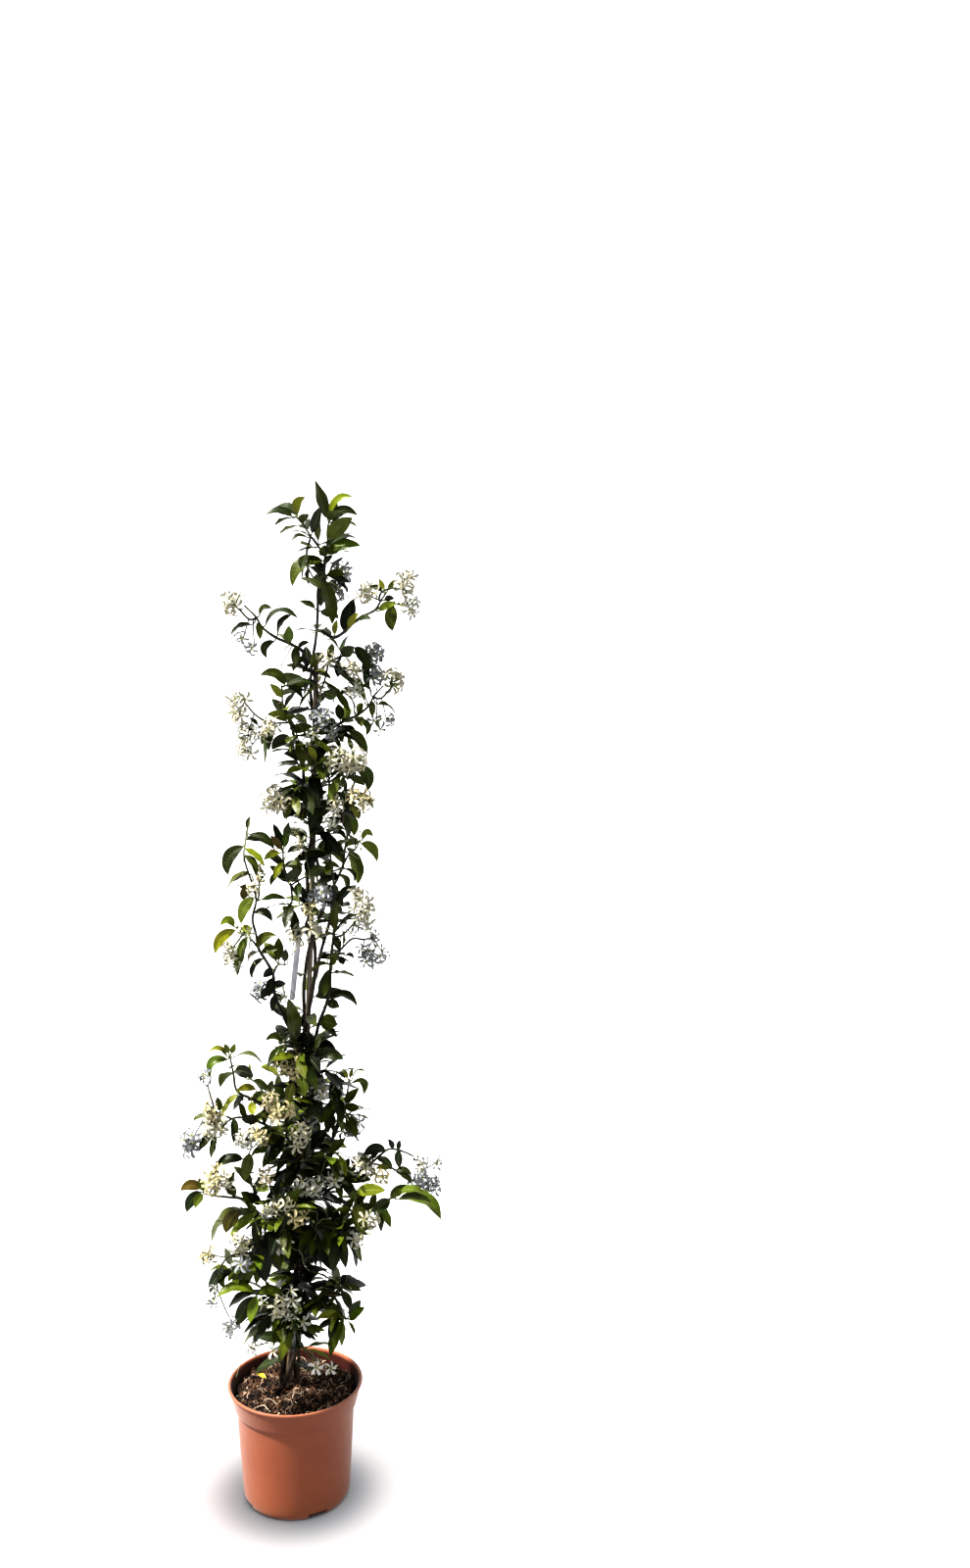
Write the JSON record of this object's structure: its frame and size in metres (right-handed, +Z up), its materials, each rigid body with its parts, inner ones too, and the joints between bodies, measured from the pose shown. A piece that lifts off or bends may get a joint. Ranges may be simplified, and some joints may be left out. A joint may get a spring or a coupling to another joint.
{
  "type": "potted climbing plant",
  "caption": "Star jasmine in flower, twined up a bamboo cane, in a round terracotta-coloured plastic nursery pot filled with soil.",
  "frame": {"origin": "centre of the pot's flat underside, on the ground", "axes": "+Z up along the cane, +Y away from the side the plant is seen from, +X to the right of that side"},
  "size_m": [0.3171, 0.2463, 1.2894],
  "materials": {
    "pot_plastic": "moulded terracotta-coloured plastic, faintly satin",
    "potting_soil": "dark fibrous bark compost",
    "bamboo": "weathered grey-brown bamboo",
    "vine_bark": "dark brown bark",
    "tie_plastic": "dull blue-grey tie",
    "label_plastic": "plain pale label",
    "leaf": "leathery glossy leaf, paler beneath",
    "flower": "soft cream petal with a yellow throat"
  },
  "bodies": {
    "root": {"pot": "pot_plastic", "soil": "potting_soil", "bamboo_cane": "bamboo", "vine_stem_1": "vine_bark", "vine_stem_2": "vine_bark", "vine_stem_3": "vine_bark", "cane_tie_1": "tie_plastic", "cane_tie_2": "tie_plastic", "plant_label": "label_plastic", "leafy_shoot_01": "leaf", "leafy_shoot_02": "leaf", "leafy_shoot_03": "leaf", "leafy_shoot_04": "leaf", "leafy_shoot_05": "leaf", "leafy_shoot_06": "leaf", "leafy_shoot_07": "leaf", "leafy_shoot_08": "leaf", "leafy_shoot_09": "leaf", "leafy_shoot_10": "leaf", "leafy_shoot_11": "leaf", "leafy_shoot_12": "leaf", "leafy_shoot_13": "leaf", "leafy_shoot_14": "leaf", "leafy_shoot_15": "leaf", "leafy_shoot_16": "leaf", "leafy_shoot_17": "leaf", "leafy_shoot_18": "leaf", "leafy_shoot_19": "leaf", "leafy_shoot_20": "leaf", "leafy_shoot_21": "leaf", "leafy_shoot_22": "leaf", "leafy_shoot_23": "leaf", "leafy_shoot_24": "leaf", "flower_spray_01": "flower", "flower_spray_02": "flower", "flower_spray_03": "flower", "flower_spray_04": "flower", "flower_spray_05": "flower", "flower_spray_06": "flower", "flower_spray_07": "flower", "flower_spray_08": "flower", "flower_spray_09": "flower", "flower_spray_10": "flower", "flower_spray_11": "flower", "flower_spray_12": "flower", "flower_spray_13": "flower", "flower_spray_14": "flower", "flower_spray_15": "flower", "flower_spray_16": "flower", "flower_spray_17": "flower", "flower_spray_18": "flower", "flower_spray_19": "flower", "flower_spray_20": "flower", "flower_spray_21": "flower", "flower_spray_22": "flower", "flower_spray_23": "flower", "flower_spray_24": "flower", "flower_spray_25": "flower", "flower_spray_26": "flower", "flower_spray_27": "flower"}
  },
  "joints": []
}
